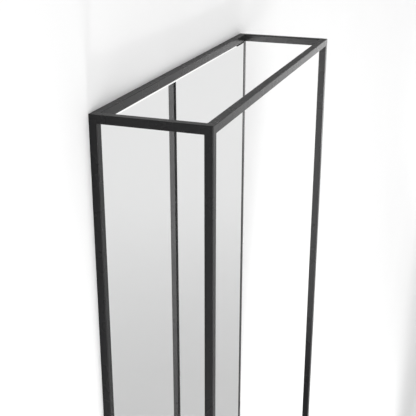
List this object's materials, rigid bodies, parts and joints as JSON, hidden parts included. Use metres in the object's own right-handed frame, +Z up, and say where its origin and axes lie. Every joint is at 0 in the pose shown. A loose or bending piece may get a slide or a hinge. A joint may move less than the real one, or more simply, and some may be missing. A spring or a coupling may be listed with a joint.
{
  "type": "open-frame mirror cabinet",
  "caption": "Wall-hung open cabinet: a slim square-tube frame with a bevelled mirror across its back, hung on keyholes, with a lift-out shelf tray.",
  "frame": {"origin": "on the wall plane, midway between the entry circles of the keyholes that the cabinet hangs from", "axes": "+Z up, +X to the right along the wall as seen from the room, +Y into the wall, so the open front faces -Y"},
  "size_m": [0.52, 0.14, 0.8],
  "materials": {
    "frame_paint": "satin black powder coat on steel",
    "shelf_paint": "satin black powder coat on folded steel sheet",
    "mirror": "silvered float glass with a polished bevel",
    "safety_film": "grey film over the mirror's backing paint",
    "foam_tape": "dark grey closed-cell foam",
    "setting_rubber": "matt black rubber",
    "clear_silicone": "clear silicone",
    "galvanised_sheet": "galvanised steel sheet with a fine spangle",
    "zinc_screw_steel": "bright zinc plate",
    "black_screw_steel": "black oxide"
  },
  "bodies": {
    "frame": {"bottom_front_rail": "frame_paint", "bottom_rear_rail": "frame_paint", "bottom_left_rail": "frame_paint", "bottom_right_rail": "frame_paint", "top_front_rail": "frame_paint", "top_rear_rail": "frame_paint", "top_left_rail": "frame_paint", "top_right_rail": "frame_paint", "front_left_post": "frame_paint", "front_right_post": "frame_paint", "rear_left_post": "frame_paint", "rear_right_post": "frame_paint", "bottom_front_left_corner": "frame_paint", "bottom_front_right_corner": "frame_paint", "bottom_rear_left_corner": "frame_paint", "bottom_rear_right_corner": "frame_paint", "top_front_left_corner": "frame_paint", "top_front_right_corner": "frame_paint", "top_rear_left_corner": "frame_paint", "top_rear_right_corner": "frame_paint", "frame_grub_screws": "black_screw_steel", "mirror_glass": "mirror", "mirror_safety_film": "safety_film", "mirror_setting_blocks": "setting_rubber", "mirror_tape_strips": "foam_tape", "panel_tabs": "frame_paint", "back_panel": "galvanised_sheet", "panel_screws": "zinc_screw_steel", "left_hanger_plate": "frame_paint", "right_hanger_plate": "frame_paint", "shelf_tabs": "frame_paint", "shelf_pads": "clear_silicone"},
    "shelf": {"shelf_tray": "shelf_paint"}
  },
  "joints": [
    {"name": "shelf_lift", "type": "slide", "parent": "frame", "child": "shelf", "axis": [0, 0, 1], "range_m": [0, 0.1]}
  ]
}
